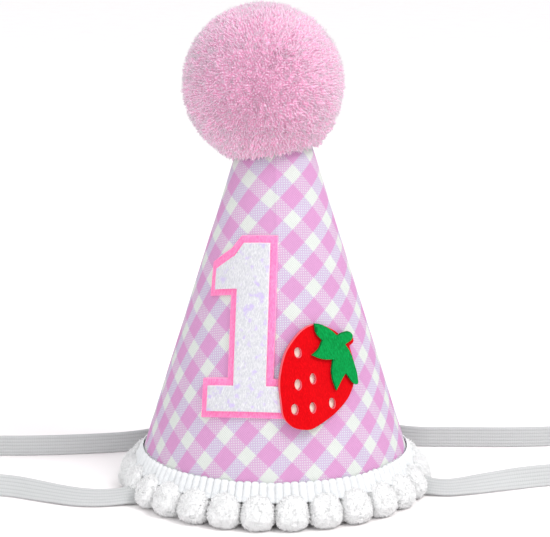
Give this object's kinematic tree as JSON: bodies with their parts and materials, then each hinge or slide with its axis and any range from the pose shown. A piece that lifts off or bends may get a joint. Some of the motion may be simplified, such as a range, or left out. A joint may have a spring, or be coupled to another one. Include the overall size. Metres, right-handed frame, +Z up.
{
  "type": "first-birthday cone hat",
  "caption": "Small gingham cone hat with a pom-pom on its tip, a felt numeral and strawberry, a ball fringe round its rim and a flat elastic band.",
  "frame": {"origin": "on the surface the hat stands on, under the middle of the cone", "axes": "+Z up along the cone's axis, -Y out of the front, where the numeral is, +X to the right of someone who looks at the numeral"},
  "size_m": [0.2558, 0.1085, 0.153],
  "materials": {
    "card": "matte white card",
    "gingham_cotton": "plain-weave cotton in a pink and white gingham check, cut on the bias",
    "pompom_yarn": "cut acrylic yarn, fluffy",
    "tie_cord": "twisted cotton cord",
    "fringe_yarn": "white cut yarn balls",
    "fringe_braid": "white ribbed braid",
    "fringe_thread": "white thread",
    "white_felt": "white felt with lilac fibres",
    "pink_felt": "pink felt",
    "red_felt": "red felt",
    "green_felt": "green felt",
    "patch_felt": "white felt",
    "glue": "hot-melt glue",
    "elastic": "flat braided elastic"
  },
  "bodies": {
    "hat": {"card_cone": "card", "gingham_cover": "gingham_cotton", "tip_disc": "card", "tie_knot": "tie_cord", "trim_header": "fringe_braid", "trim_ball_01": "fringe_yarn", "trim_ball_02": "fringe_yarn", "trim_ball_03": "fringe_yarn", "trim_ball_04": "fringe_yarn", "trim_ball_05": "fringe_yarn", "trim_ball_06": "fringe_yarn", "trim_ball_07": "fringe_yarn", "trim_ball_08": "fringe_yarn", "trim_ball_09": "fringe_yarn", "trim_ball_10": "fringe_yarn", "trim_ball_11": "fringe_yarn", "trim_ball_12": "fringe_yarn", "trim_ball_13": "fringe_yarn", "trim_ball_14": "fringe_yarn", "trim_ball_15": "fringe_yarn", "trim_ball_16": "fringe_yarn", "trim_ball_17": "fringe_yarn", "trim_ball_18": "fringe_yarn", "trim_ball_19": "fringe_yarn", "trim_ball_20": "fringe_yarn", "trim_ball_21": "fringe_yarn", "trim_ball_22": "fringe_yarn", "trim_ball_23": "fringe_yarn", "trim_ball_24": "fringe_yarn", "trim_ball_25": "fringe_yarn", "trim_ball_26": "fringe_yarn", "trim_ball_27": "fringe_yarn", "trim_ball_28": "fringe_yarn", "trim_threads": "fringe_thread", "numeral_backing": "pink_felt", "numeral_front": "white_felt", "strawberry_body": "red_felt", "strawberry_calyx": "green_felt", "strawberry_glue": "glue", "elastic_band": "elastic", "elastic_end_left": "elastic", "elastic_patch_left": "patch_felt", "elastic_end_right": "elastic", "elastic_patch_right": "patch_felt"},
    "tie": {"pompom_tie": "tie_cord"},
    "pompom": {"pompom": "pompom_yarn"}
  },
  "joints": [
    {"name": "pompom_nod", "type": "hinge", "parent": "hat", "child": "tie", "pos_m": [0, 0, 0.1233], "axis": [1, 0, 0], "range_deg": [-6, 6], "stiffness_Nm_per_rad": 0.04},
    {"name": "pompom_sway", "type": "hinge", "parent": "tie", "child": "pompom", "pos_m": [0, 0, 0.1233], "axis": [0, 1, 0], "range_deg": [-6, 6], "stiffness_Nm_per_rad": 0.04}
  ]
}
